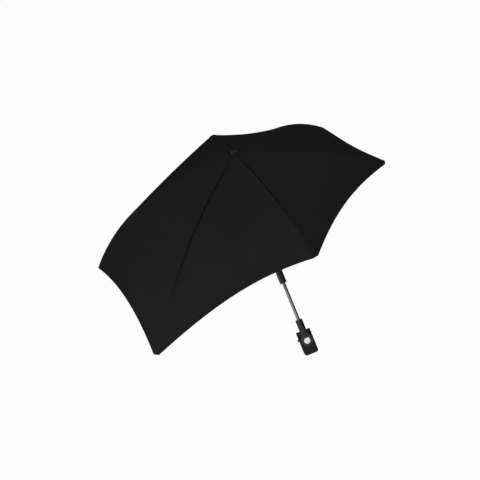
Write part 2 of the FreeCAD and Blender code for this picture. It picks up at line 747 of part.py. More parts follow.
def cloth_on_rib(index, share):
    """A point of the cloth's underside over a rib, at a share of the way from the crown to its corner."""
    azimuth, reach, drop = RIBS[index]
    start, joint, tip, centre, radius = arc_of(reach, drop)
    inner = number(d.cloth_inner)
    out = inner + share * (tip.x - inner)
    rib_height = height_on_arc(centre, radius, max(out, start.x))
    edge = number(d.hub_radius)
    fade = min(max((out - edge) / (number(d.crown_spread) - edge), 0.0), 1.0)
    bump = number(d.crown_lift) * (1 - fade * fade * (3 - 2 * fade))
    steepness = (rib_height - centre.y) / radius
    height = rib_height + (number(d.rib_radius) + number(d.cloth_lift)) / steepness + bump
    return Rotation(Vector(0, 0, 1), azimuth).multVec(Vector(out, 0, height))


def ridge_point(index, side, share):
    """A point beside a rib, where a panel starts: close to the rib, and out at the pocket's edge near the corner."""
    azimuth = RIBS[index][0]
    ridge = number(d.ridge_half_width)
    width = ridge + (number(d.pocket_half_width) - ridge) * share ** 6
    sideways = Rotation(Vector(0, 0, 1), azimuth).multVec(Vector(0, side * width, 0))
    return cloth_on_rib(index, share) + sideways


def cloth_point(index, across, share):
    """A point of the cloth between two ribs: on the straight line across, drawn in at the hem and sagging a little."""
    scallop, sag = PANELS[index]
    arch = 4 * across * (1 - across)
    part = share * (1 - number(scallop) * arch)
    near = ridge_point(index, 1, part)
    far = ridge_point((index + 1) % 6, -1, part)
    chord = (far - near).Length
    return near + (far - near) * across - Vector(0, 0, number(sag) * chord * arch)


SHARES = [0.0, 0.02, 0.045, 0.08, 0.14, 0.25, 0.4, 0.55, 0.7, 0.82, 0.92, 1.0]
STEPS = 6


def cloth_line(index, side, step):
    """Points from crown to hem at one of the steps from the edge of a rib to the middle of the next panel."""
    panel = index if side > 0 else (index - 1) % 6
    half = 0.5 * step / STEPS
    across = half if side > 0 else 1 - half
    points = [cloth_point(panel, across, share) for share in SHARES]
    if step < STEPS:
        return points
    ridge = [ridge_point(index, side, share) for share in SHARES]
    split = number(d.cloth_split)
    return [p + (r - p).normalize() * split for p, r in zip(points, ridge)]


def cloth_edge(points):
    """A smooth edge through the points of one line of the cloth."""
    curve = Part.BSplineCurve()
    curve.interpolate(points)
    return curve.toShape()


def cloth_strip(near, far, rise):
    """The faces of the cloth between two lines: underside, top, hem and inner edge."""
    faces = []
    for lift in (Vector(), rise):
        faces.append(Part.makeRuledSurface(cloth_edge([p + lift for p in near]), cloth_edge([p + lift for p in far])))
    for end in (0, -1):
        lower = Part.LineSegment(near[end], far[end]).toShape()
        upper = Part.LineSegment(near[end] + rise, far[end] + rise).toShape()
        faces.append(Part.makeRuledSurface(lower, upper))
    return faces


def canopy_sector(label, index):
    """The cloth that goes with one rib, to the middle of the panels on either side."""
    lines = [cloth_line(index, -1, step) for step in range(STEPS, -1, -1)]
    lines.append([cloth_on_rib(index, share) for share in SHARES])
    lines += [cloth_line(index, 1, step) for step in range(0, STEPS + 1)]
    rise = Vector(0, 0, number(d.cloth_thickness))
    faces = []
    for near, far in zip(lines, lines[1:]):
        faces += cloth_strip(near, far, rise)
    for side in (lines[0], lines[-1]):
        faces.append(Part.makeRuledSurface(cloth_edge(side), cloth_edge([p + rise for p in side])))
    skin = Part.makeCompound(faces)
    skin.sewShape()
    cloth = Part.makeSolid(skin.Shells[0])
    if cloth.Volume < 0:
        cloth.reverse()
    shaped(label, cloth, at(0, POLE_Y, 0))


def canopy():
    """Six ribs with their caps, joints, rivets, stretchers and cloth."""
    for k, (azimuth, reach, drop) in enumerate(RIBS, start=1):
        place = spoke(azimuth)
        rib(f"rib_{k}", reach, drop, place)
        rib_cap(f"rib_cap_{k}", reach, drop, place)
        rib_joint(f"rib_joint_{k}", reach, drop, place)
        start, joint, tip, centre, radius = arc_of(reach, drop)
        shaped(f"joint_rivet_{k}", rivet_rod(joint, d.rivet_radius), place)
        stretcher(f"stretcher_{k}", place)
        canopy_sector(f"canopy_sector_{k}", k - 1)


KNEE = ("tilt_lower", "tilt_upper", "tilt_pin", "tilt_button")
UPRIGHT = ("clamp_body", "clamp_jaw", "body_pad", "jaw_pad", "jaw_pin", "swivel_pin", "swivel_ring", "socket_arm",
           "swivel_button", "lower_pole", "tilt_lower")


def bend_knee():
    """Turns the knee until its pin lies along X, and leans all that its fork carries over the pin, towards -Y."""
    middle = Vector(0, number(POLE_Y), number(d.knee_height))
    quarter = Placement(Vector(), Rotation(Vector(0, 0, 1), 90), middle)
    lean = Placement(Vector(), Rotation(Vector(1, 0, 0), number(d.knee_bend_angle)), middle)
    for obj in parts:
        if obj.Label in KNEE:
            obj.Placement = quarter.multiply(obj.Placement)
        if obj.Label not in UPRIGHT:
            obj.Placement = lean.multiply(obj.Placement)


def check_and_write():
    """Stops on any failed feature or broken solid, then writes one file for each sub-part."""
    doc.recompute()
    for obj in doc.Objects:
        if "Invalid" in obj.State or "Error" in obj.State:
            raise RuntimeError(f"{obj.Name} failed: {obj.State}")
    os.makedirs("parts", exist_ok=True)
    for obj in parts:
        if obj.Shape.isNull() or not obj.Shape.isValid():
            raise RuntimeError(f"{obj.Label} has no sound shape")
        if obj.Shape.Volume <= 0:
            raise RuntimeError(f"{obj.Label} is inside out")
        obj.Shape.exportStep(f"parts/{obj.Label}.step")
    print(len(parts), "sub-parts written")


clip_body()
clip_jaw()
clip_pads_and_pins()
socket_arm()
swivel_button()
poles()
knee_lower()
knee_upper()
knee_pin_and_button()
crown()
finial()
runner()
canopy()
bend_knee()
check_and_write()
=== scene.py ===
"""Finish of a black pram parasol: the sewn canopy, its stitching, and the finishes of the frame, pole and clip."""

import json
import math
from functools import partial

import bpy
import numpy as np
from bpy.props import FloatProperty, FloatVectorProperty, IntProperty, PointerProperty
from mathutils import Euler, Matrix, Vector


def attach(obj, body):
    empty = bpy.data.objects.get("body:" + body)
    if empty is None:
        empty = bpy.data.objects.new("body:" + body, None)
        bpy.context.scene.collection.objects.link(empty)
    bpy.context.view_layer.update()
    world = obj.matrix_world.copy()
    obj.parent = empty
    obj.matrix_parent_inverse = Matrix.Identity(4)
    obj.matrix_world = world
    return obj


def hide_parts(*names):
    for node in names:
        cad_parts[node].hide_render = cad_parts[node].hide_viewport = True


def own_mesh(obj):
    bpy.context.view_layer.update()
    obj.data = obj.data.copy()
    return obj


bl_info = {
    "name": "Pram parasol",
    "version": (1, 0, 0),
    "blender": (4, 5, 0),
    "location": "View3D > Sidebar > Parasol",
    "description": "Sews the canopy of a pram parasol over its ribs and finishes the frame, the pole and the clip",
    "category": "Object",
}

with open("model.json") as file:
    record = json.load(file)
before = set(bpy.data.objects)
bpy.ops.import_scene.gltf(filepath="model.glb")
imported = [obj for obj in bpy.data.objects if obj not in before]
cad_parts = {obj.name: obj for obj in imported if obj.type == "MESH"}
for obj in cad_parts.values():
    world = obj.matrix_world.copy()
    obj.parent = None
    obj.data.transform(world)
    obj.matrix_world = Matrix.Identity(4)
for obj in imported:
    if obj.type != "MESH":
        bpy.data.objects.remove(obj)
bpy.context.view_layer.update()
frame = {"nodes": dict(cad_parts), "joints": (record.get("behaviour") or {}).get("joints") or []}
JOINTS = {joint["name"]: joint for joint in frame["joints"]}

# The knee bends the upper pole about X. The canopy is worked out on a straight pole, and then leans with it.
KNEE = np.array(JOINTS["pole_tilt"]["pos_m"])
POLE = KNEE[:2]
SLIDE = JOINTS["runner_slide"]["axis"]
BEND = math.atan2(SLIDE[1], -SLIDE[2])
LEAN = np.array((
    (1.0, 0.0, 0.0),
    (0.0, math.cos(BEND), -math.sin(BEND)),
    (0.0, math.sin(BEND), math.cos(BEND)),
))

# Ribs in order round the crown: reach from the pole, and drop of the tip below the apex, in metres.
RIBS = np.array([
    (0.3890, 0.2045),
    (0.4050, 0.1550),
    (0.2735, 0.1135),
    (0.2800, 0.0955),
    (0.2735, 0.1135),
    (0.4050, 0.1550),
])
RIB_COUNT = len(RIBS)

# The ribs' hinges at the crown, brought back to the straight pole, and each one's direction round the pole.
HINGES = np.array([JOINTS[f"rib_{k + 1}_fold"]["pos_m"] for k in range(RIB_COUNT)])
UPRIGHT = KNEE + (HINGES - KNEE) @ LEAN
TURNS = np.arctan2(UPRIGHT[:, 1] - POLE[1], UPRIGHT[:, 0] - POLE[0])
PIVOT = np.array((np.linalg.norm(UPRIGHT[0, :2] - POLE), UPRIGHT[0, 2]))

# Panels in the same order, each from one rib to the next: how far the hem is drawn in, as a share of its way out, by
# how much more on the far side than on the near one, and how far the cloth sags, as a share of its span. It bulges
# where that is less than 0.
SCALLOP = np.array([0.034, 0.063, 0.054, 0.060, 0.054, 0.044])
SKEW = np.array([0.20, 0.08, 0.10, -0.58, 0.40, 0.25])
SAG = np.array([-0.030, 0.014, 0.004, -0.002, 0.039, -0.014])

# A rib's arc: the apex's height, and the stretcher's joint, seen from the rib's hinge.
APEX = PIVOT[1] + 0.005
LINK_REACH = 0.130
LINK_ANGLE = math.radians(12.4)
LINK_OFFSET = 0.004

# The cloth on the ribs, in metres.
ROD_AND_LIFT = 0.0020
CLOTH_START = 0.0046
HUB_EDGE = 0.011
CROWN_SPREAD = 0.030
CROWN_LIFT = 0.0027
RIDGE_WIDTH = 0.0006
POCKET_WIDTH = 0.0057
POCKET_POWER = 6

# The cloth's grid. Bands of rows from the crown: the share of the way to the hem at which each starts, and its rows.
ROW_BANDS = ((0.0, 30), (0.14, 50), (0.90, 10), (0.97, 16))
SEAM_COLUMNS = np.array((0.0, 0.0008, 0.0016, 0.0024, 0.0030, 0.0036, 0.0042, 0.0050, 0.0060, 0.0075))
RIDGE_LINES = 9
HEM_LINES = 7
SHARP_EDGE = math.radians(50.0)

# Reliefs in the cloth. A pair says where a smooth step starts and ends, in metres from the hem, the seam or the pole.
GROOVE_WIDTH = 0.0006
GROOVE_FADE = (0.03, 0.08)
HEM_STEP = (-0.0004, 0.0006)
PATCH_HEIGHT = 0.0004
PATCH_LENGTH = (0.024, 0.0255)
PATCH_WIDTH = (0.0095, 0.011)
GATHERS_START = (0.008, 0.016)
GATHERS_END = (0.022, 0.055)
GATHERS_ROUND = 36.0
GATHERS_BEAT = 7.0
GATHERS_SHIFT = 1.0

# Stitching: where its lines run, in metres from the hem and the seam, or as a share, and the shape of one stitch.
HEM_LINE = 0.0062
HEM_LINE_START = 0.012
HEM_LINE_POINTS = 400
SEAM_LINE = 0.0021
SEAM_LINE_START = 0.07
SEAM_LINE_END = 0.009
SEAM_LINE_POINTS = 500
STITCH_GIRTH = np.array((0.3, 0.9, 1.0, 0.9, 0.3))
STITCH_DIP = np.array((-0.5, 0.35, 0.5, 0.35, -0.5))
STITCH_CORNERS = 6

# Ribs whose seams carry a deep line of painted shade, for the shade that falls in their creases under this light, and
# how dark that painted line is there and elsewhere.
SHADED_SEAMS = (1, 2)
DEEP_SEAM_SHADE = 0.75
FAINT_SEAM_SHADE = 0.06

# The painted shade line along a seam and the dark edge of the hem, in metres: from where to where each fades.
DARK_LINE = (0.0006, 0.0015)
DARK_LINE_HEM = (0.06, 0.2)
DARK_LINE_CROWN = (0.055, 0.015)
DARK_HEM = (0.0004, 0.0022)
WEAVE_PITCH = 0.0007
RING_PITCH = 0.00035

# The stage, in metres: the floor, the two dark cards (name, place on X, near end on Y), the lamps, and the white level.
FLOOR_REACH = 40.0
CARDS = (("right_card", 0.9, -2.6), ("left_card", -0.9, 0.3))
CARD_FAR = 2.6
CARD_LOW = -0.3
CARD_HIGH = 0.45
LAMP_SIZE = 1.0
LAMP_TARGET = (0.0, -0.2, 0.35)
KEY_PLACE = (-1.4, -2.2, -0.2)
FILL_PLACE = (1.8, 0.2, 1.4)
SENSOR_WIDTH = 36.0
SKY_SEEN = 0.975
FLOOR_SEEN = 0.95


class CanopySizes(bpy.types.PropertyGroup):
    """Sizes of the sewn cloth."""

    thickness: FloatProperty(
        name="Cloth", description="Thickness of the cloth", default=0.0006, min=0.0002, max=0.002, unit="LENGTH"
    )
    hem_width: FloatProperty(
        name="Hem", description="Width of the turned hem", default=0.008, min=0.003, max=0.02, unit="LENGTH"
    )
    hem_height: FloatProperty(
        name="Hem height", description="How far the turned hem stands up", default=0.00045, max=0.002, unit="LENGTH"
    )
    seam_width: FloatProperty(
        name="Seam", description="Half width of the felled seam over a rib", default=0.0034, max=0.01, unit="LENGTH"
    )
    seam_height: FloatProperty(
        name="Seam height", description="How far the felled seam stands up", default=0.0005, max=0.002, unit="LENGTH"
    )
    groove_depth: FloatProperty(
        name="Seam groove", description="Depth of the line where two panels meet", default=0.0005, max=0.001,
        unit="LENGTH",
    )
    pucker: FloatProperty(
        name="Pucker", description="Height of the gathers at the crown", default=0.0005, max=0.003, unit="LENGTH"
    )
    columns: IntProperty(name="Columns", description="Grid columns in half a panel", default=44, min=20, max=80)
    fold_keep: FloatProperty(
        name="Folded width", description="Share of its width that a folded sector keeps", default=0.2, min=0.05, max=1.0
    )


class StitchSizes(bpy.types.PropertyGroup):
    """Sizes of the sewing thread."""

    pitch: FloatProperty(
        name="Pitch", description="Distance from one stitch to the next", default=0.0034, min=0.001, unit="LENGTH"
    )
    length: FloatProperty(name="Length", description="Length of one stitch", default=0.0025, min=0.0005, unit="LENGTH")
    radius: FloatProperty(name="Thread", description="Radius of the thread", default=0.0002, min=0.00005, unit="LENGTH")


class FinishColours(bpy.types.PropertyGroup):
    """Colours of the finishes."""

    cloth: FloatVectorProperty(
        name="Cloth", description="Colour of the canopy", subtype="COLOR", default=(0.0132, 0.0132, 0.0132)
    )
    thread: FloatVectorProperty(
        name="Thread", description="Colour of the stitching", subtype="COLOR", default=(0.010, 0.010, 0.0105)
    )
    plastic: FloatVectorProperty(
        name="Plastic", description="Colour of the moulded parts", subtype="COLOR", default=(0.0105, 0.0105, 0.0115)
    )
    tube: FloatVectorProperty(
        name="Tube", description="Colour of the bright pole", subtype="COLOR", default=(0.28, 0.28, 0.275)
    )
    silver: FloatVectorProperty(
        name="Silver", description="Colour of the round button", subtype="COLOR", default=(0.84, 0.85, 0.86)
    )
    rod: FloatVectorProperty(
        name="Rods", description="Colour of the ribs and stretchers", subtype="COLOR", default=(0.020, 0.020, 0.021)
    )
    rubber: FloatVectorProperty(
        name="Rubber", description="Colour of the clip's pads", subtype="COLOR", default=(0.022, 0.022, 0.022)
    )


class StageSizes(bpy.types.PropertyGroup):
    """Camera, light and floor."""

    camera_place: FloatVectorProperty(
        name="Camera", description="Place of the camera", subtype="TRANSLATION",
        default=(-0.070131, -1.780861, 0.074284),
    )
    camera_turn: FloatVectorProperty(
        name="Turn", description="Turn of the camera", subtype="EULER",
        default=(math.radians(96.41788), math.radians(21.96851), math.radians(1.83915)),
    )
    lens: FloatProperty(name="Lens", description="Focal length on a 36 mm sensor, in millimetres", default=60.28977)
    floor_depth: FloatProperty(name="Floor", description="Height of the floor", default=-0.45, unit="LENGTH")
    sky: FloatProperty(name="Sky", description="Strength of the even light all round", default=0.46, min=0.0)
    key: FloatProperty(name="Key", description="Power of the main lamp in watts", default=58.0, min=0.0)
    fill: FloatProperty(name="Fill", description="Power of the second lamp in watts", default=15.0, min=0.0)


def smooth_step(low, high, value):
    """0 below low and 1 above high, with the cubic 3t^2 - 2t^3 of the share t between them."""
    share = np.clip((value - low) / (high - low), 0.0, 1.0)
    return share * share * (3.0 - 2.0 * share)


def unit(vectors):
    """Each vector divided by its length."""
    return vectors / np.linalg.norm(vectors, axis=-1, keepdims=True)


def leaned(vectors):
    """Directions turned about X by the knee's bend, as the upper pole is."""
    return vectors @ LEAN.T


def rib_arc(k):
    """Centre and radius of the circle through a rib's pivot, its stretcher joint and its tip, in its upright plane."""
    reach, drop = RIBS[k]
    joint = PIVOT + LINK_REACH * np.array((math.cos(LINK_ANGLE), -math.sin(LINK_ANGLE))) + (0.0, LINK_OFFSET)
    points = np.array((PIVOT, joint, (reach, APEX - drop)))
    rows = 2.0 * (points[1:] - points[0])
    centre = np.linalg.solve(rows, (points[1:] ** 2).sum(1) - (points[0] ** 2).sum())
    return centre, np.linalg.norm(points[0] - centre)


def rib_directions(k):
    """Unit vectors out along a rib and across it, to the left when looking out."""
    turn = TURNS[k]
    return np.array((math.cos(turn), math.sin(turn), 0.0)), np.array((-math.sin(turn), math.cos(turn), 0.0))


def ridge_width(share):
    """Half the width of the cloth that lies on a rib: a narrow ridge, which opens into the pocket close to the tip."""
    return RIDGE_WIDTH + (POCKET_WIDTH - RIDGE_WIDTH) * share ** POCKET_POWER


def on_rib(k, side, share):
    """Underside of the cloth on rib k.

    The way out grows evenly with share. The height is the rib's arc, plus the rod's radius and a small lift over the
    cosine of the slope, plus the crown's dome, which fades out with a smooth step. side -1 to 1 goes across the ridge.
    """
    centre, radius = rib_arc(k)
    outward, across = rib_directions(k)
    out = CLOTH_START + share * (RIBS[k, 0] - CLOTH_START)
    rise = np.sqrt(radius ** 2 - (np.maximum(out, PIVOT[0]) - centre[0]) ** 2)
    dome = CROWN_LIFT * (1.0 - smooth_step(HUB_EDGE, CROWN_SPREAD, out))
    height = centre[1] + rise + ROD_AND_LIFT * radius / rise + dome
    points = out[..., None] * outward + (side * ridge_width(share))[..., None] * across
    points[..., :2] += POLE
    points[..., 2] = height
    return points


def on_panel(panel, across, share):
    """Underside of the cloth between two ribs.

    A point lies on the straight line between the two ridges, at the share across. The arch 4a(1 - a) lets the cloth
    sag, or bulge, by a share of the span. The same arch, made lopsided by 1 + skew(2a - 1), draws the hem in towards
    the crown.
    """
    arch = 4.0 * across * (1.0 - across)
    part = share * (1.0 - SCALLOP[panel] * arch * (1.0 + SKEW[panel] * (2.0 * across - 1.0)))
    ones = np.ones_like(part)
    near = on_rib(panel, ones, part)
    far = on_rib((panel + 1) % RIB_COUNT, -ones, part)
    span = far - near
    points = near + span * across[..., None]
    points[..., 2] -= SAG[panel] * np.linalg.norm(span, axis=-1) * arch
    return points


def panel_span(panel, share):
    """Straight distance across a panel, from ridge to ridge, at each share of the way out."""
    near, far = on_panel(panel, np.zeros_like(share), share), on_panel(panel, np.ones_like(share), share)
    return np.linalg.norm(far - near, axis=1)


def halves_of(k):
    """The two panels that share rib k, each with the side of the rib that it lies on."""
    return ((k - 1) % RIB_COUNT, -1), (k, 1)


def normals_of(surface, first, second, step=1e-4):
    """Upward unit normals of a surface of two parameters, from central differences."""
    along_first = surface(first + step, second) - surface(first - step, second)
    along_second = surface(first, second + step) - surface(first, second - step)
    normals = unit(np.cross(along_first, along_second))
    return normals * np.where(normals[..., 2:] < 0.0, -1.0, 1.0)


def panel_length(panel):
    """Length of the cloth from crown to hem along the near rib of a panel."""
    share = np.linspace(0.0, 1.0, 200)
    return np.linalg.norm(np.diff(on_rib(panel, np.zeros_like(share), share), axis=0), axis=1).sum()


def row_shares():
    """Shares of the rows from crown to hem: close together at the crown's gathers and at the turned hem."""
    starts, counts = zip(*ROW_BANDS)
    ends = (*starts[1:], 1.0)
    bands = [np.linspace(start, end, count, endpoint=False) for start, end, count in zip(starts, ends, counts)]
    return np.concatenate([*bands, [1.0]])


def row_columns(span, count):
    """Shares across half a panel for each row: fixed steps beside the seam, then even steps to the panel's middle.

    Beside the seam a column keeps its distance in metres, but takes no more than its even share of the half panel.
    """
    fixed = len(SEAM_COLUMNS)
    even = 0.5 * np.arange(count + 1) / count
    held = np.minimum(SEAM_COLUMNS[None, :] / span[:, None], even[None, :fixed])
    steps = np.arange(1, count + 2 - fixed) / (count + 1 - fixed)
    rest = held[:, -1:] + (0.5 - held[:, -1:]) * steps[None, :]
    return np.concatenate([held, rest], axis=1)


def cloth_height(sizes, beside, to_hem, points):
    """How far the upper face stands above the underside.

    The cloth's thickness, plus smooth steps for the felled seam, the turned hem and the corner's patch, less a narrow
    bell-shaped groove along the seam, plus the crown's gathers: a cosine round the pole that fades with distance.
    """
    seam = sizes.seam_height * (1.0 - smooth_step(0.4 * sizes.seam_width, sizes.seam_width, beside))
    groove = sizes.groove_depth * np.exp(-((beside / GROOVE_WIDTH) ** 2)) * smooth_step(*GROOVE_FADE, to_hem)
    hem = sizes.hem_height * (1.0 - smooth_step(sizes.hem_width + HEM_STEP[0], sizes.hem_width + HEM_STEP[1], to_hem))
    patch = PATCH_HEIGHT * (1.0 - smooth_step(*PATCH_LENGTH, to_hem)) * (1.0 - smooth_step(*PATCH_WIDTH, beside))
    flat = points[..., :2] - POLE
    away = np.linalg.norm(flat, axis=-1)
    turn = np.arctan2(flat[..., 1], flat[..., 0])
    fade = smooth_step(*GATHERS_START, away) * (1.0 - smooth_step(*GATHERS_END, away))
    wave = np.cos(GATHERS_ROUND * turn) * np.cos(GATHERS_BEAT * turn + GATHERS_SHIFT)
    gathers = sizes.pucker * fade * (0.5 + 0.5 * wave)
    return sizes.thickness + np.maximum(np.maximum(seam, hem), patch) - groove + gathers


def sector_surface(k, sizes):
    """Underside points, normals, heights and pattern places of the cloth that belongs to one rib.

    The columns run from the middle of the panel before the rib, over the ridge, to the middle of the panel after it.
    """
    share = row_shares()
    ridge = ridge_width(share)[:, None]
    halves = []
    for panel, side in halves_of(k):
        span = panel_span(panel, share)
        across = row_columns(span, sizes.columns)
        where = across if side > 0 else 1.0 - across
        deep = np.broadcast_to(share[:, None], across.shape)
        surface = partial(on_panel, panel)
        beside = ridge + across * span[:, None]
        halves.append((surface(where, deep), normals_of(surface, where, deep), beside, side * beside))
    over = np.linspace(-1.0, 1.0, RIDGE_LINES)[1:-1]
    over = np.broadcast_to(over[None, :], (len(share), len(over)))
    deep = np.broadcast_to(share[:, None], over.shape)
    surface = partial(on_rib, k)
    left = [part[:, ::-1] for part in halves[0]]
    middle = surface(over, deep), normals_of(surface, over, deep), np.abs(over) * ridge, over * ridge
    right = halves[1]
    points, normals, beside, signed = (np.concatenate(parts, axis=1) for parts in zip(left, middle, right))
    hem = np.broadcast_to((1.0 - share[:, None]) * panel_length(k), beside.shape)
    height = cloth_height(sizes, beside, hem, points)
    pattern = np.stack([signed, -hem], axis=-1)
    return points, normals, height, pattern


def mesh_object(name, points, faces, pattern=None):
    """A smooth mesh object from points, faces and, where given, a place in the cloth's pattern for each point."""
    mesh = bpy.data.meshes.new(name)
    mesh.from_pydata(points.tolist(), [], faces)
    mesh.update(calc_edges=True)
    if pattern is not None:
        corners = np.zeros(len(mesh.loops), dtype=np.int32)
        mesh.loops.foreach_get("vertex_index", corners)
        layer = mesh.uv_layers.new(name="pattern")
        layer.data.foreach_set("uv", pattern[corners].astype(np.float32).ravel())
    mesh.shade_smooth()
    mesh.set_sharp_from_angle(angle=SHARP_EDGE)
    piece = bpy.data.objects.new(name, mesh)
    bpy.context.scene.collection.objects.link(piece)
    return piece


def sheet_of(k, sizes):
    """One rib's share of the canopy as a closed sheet, and the area of its upper face.

    The upper face is the underside moved along its normal by the height. At the hem a half circle of that height
    turns from one face into the other, and thin strips close the crown's edge and the middles of the panels.
    """
    under, normals, height, pattern = sector_surface(k, sizes)
    rows, columns = height.shape
    upper = under + normals * height[..., None]
    out = unit(under[-1] - under[-2])
    turns = np.linspace(0.0, math.pi, HEM_LINES)[1:-1]
    middle = 0.5 * (under[-1] + upper[-1])
    half = 0.5 * height[-1][:, None]
    fold = np.stack([middle + half * (math.cos(t) * normals[-1] + math.sin(t) * out) for t in turns])
    loop = np.concatenate([upper, fold, under[::-1]])
    places = np.concatenate([pattern, np.repeat(pattern[-1:], len(turns), axis=0), pattern[::-1]])
    total = len(loop)
    index = np.arange(total * columns).reshape(total, columns)
    ahead = np.roll(index, -1, axis=0)
    quads = np.stack([index[:, :-1], ahead[:, :-1], ahead[:, 1:], index[:, 1:]], axis=-1).reshape(-1, 4)
    top = np.arange(rows - 1)
    low = total - 1 - top
    first = np.stack([index[top, 0], index[low, 0], index[low - 1, 0], index[top + 1, 0]], axis=-1)
    last = np.stack([index[top, -1], index[top + 1, -1], index[low - 1, -1], index[low, -1]], axis=-1)
    faces = np.concatenate([quads, first, last]).tolist()
    turn = list(range(rows - 1, rows + len(turns) + 1))
    faces.append([int(index[r, 0]) for r in turn[::-1]])
    faces.append([int(index[r, -1]) for r in turn])
    crossed = np.cross(upper[1:, 1:] - upper[:-1, :-1], upper[1:, :-1] - upper[:-1, 1:])
    area = 0.5 * np.linalg.norm(crossed, axis=-1).sum()
    loop = KNEE + leaned(loop - KNEE)
    return mesh_object(f"canopy_cloth_{k + 1}", loop.reshape(-1, 3), faces, places.reshape(-1, 2)), area


def stitches_along(line, normals, sizes):
    """Stitches along a line on the cloth, as points in the order stitch, ring and corner.

    Each stitch is a small tube of rings along the line. The rings grow from the ends to the middle, and the ends dip
    into the cloth.
    """
    steps = np.linalg.norm(np.diff(line, axis=0), axis=1)
    travel = np.concatenate([[0.0], np.cumsum(steps)])
    starts = np.arange(0.5 * sizes.pitch, travel[-1] - sizes.pitch, sizes.pitch)
    share = np.linspace(0.0, 1.0, len(STITCH_GIRTH))
    where = starts[:, None] + sizes.length * share[None, :]
    centre = np.stack([np.interp(where, travel, line[:, axis]) for axis in range(3)], axis=-1)
    up = unit(np.stack([np.interp(where, travel, normals[:, axis]) for axis in range(3)], axis=-1))
    along = unit(np.gradient(centre, axis=1))
    aside = unit(np.cross(along, up))
    girth = sizes.radius * STITCH_GIRTH
    dip = sizes.radius * STITCH_DIP
    turns = np.linspace(0.0, 2.0 * math.pi, STITCH_CORNERS, endpoint=False)
    ring = np.cos(turns)[:, None] * aside[..., None, :] + np.sin(turns)[:, None] * up[..., None, :]
    return (centre + dip[None, :, None] * up)[..., None, :] + girth[None, :, None, None] * ring


def stitch_faces(count):
    """Faces of that many stitches: the sides between each one's rings, and a face at both ends."""
    index = np.arange(len(STITCH_GIRTH) * STITCH_CORNERS).reshape(-1, STITCH_CORNERS)
    ahead = np.roll(index, -1, axis=1)
    sides = np.stack([index[:-1], ahead[:-1], ahead[1:], index[1:]], axis=-1).reshape(-1, 4)
    base = index.size * np.arange(count)
    quads = (sides[None] + base[:, None, None]).reshape(-1, 4).tolist()
    start = (index[0, ::-1][None] + base[:, None]).tolist()
    end = (index[-1][None] + base[:, None]).tolist()
    return quads + start + end


def sewn_line(canopy, panel, side, across, share, to_hem):
    """Points and normals of a line on the upper face of a panel, at shares across from the rib and out to the hem."""
    surface = partial(on_panel, panel)
    where = across if side > 0 else 1.0 - across
    points, normals = surface(where, share), normals_of(surface, where, share)
    beside = ridge_width(share) + across * panel_span(panel, share)
    return points + normals * cloth_height(canopy, beside, to_hem, points)[:, None], normals


def stitching_of(k, canopy, sizes):
    """The rows of stitching on one rib's share of the canopy: along the hem, and on both sides of the rib's seam."""
    length = panel_length(k)
    rows = []
    for panel, side in halves_of(k):
        across = np.linspace(HEM_LINE_START, 0.5, HEM_LINE_POINTS)
        share = np.full_like(across, 1.0 - HEM_LINE / length)
        rows.append(sewn_line(canopy, panel, side, across, share, np.full_like(across, HEM_LINE)))
        share = np.linspace(SEAM_LINE_START, 1.0 - SEAM_LINE_END / length, SEAM_LINE_POINTS)
        across = np.maximum(SEAM_LINE - ridge_width(share), 0.0) / panel_span(panel, share)
        rows.append(sewn_line(canopy, panel, side, across, share, (1.0 - share) * length))
    threads = np.concatenate([stitches_along(line, normals, sizes) for line, normals in rows])
    threads = KNEE + leaned(threads - KNEE)
    return mesh_object(f"canopy_stitching_{k + 1}", threads.reshape(-1, 3), stitch_faces(len(threads)))


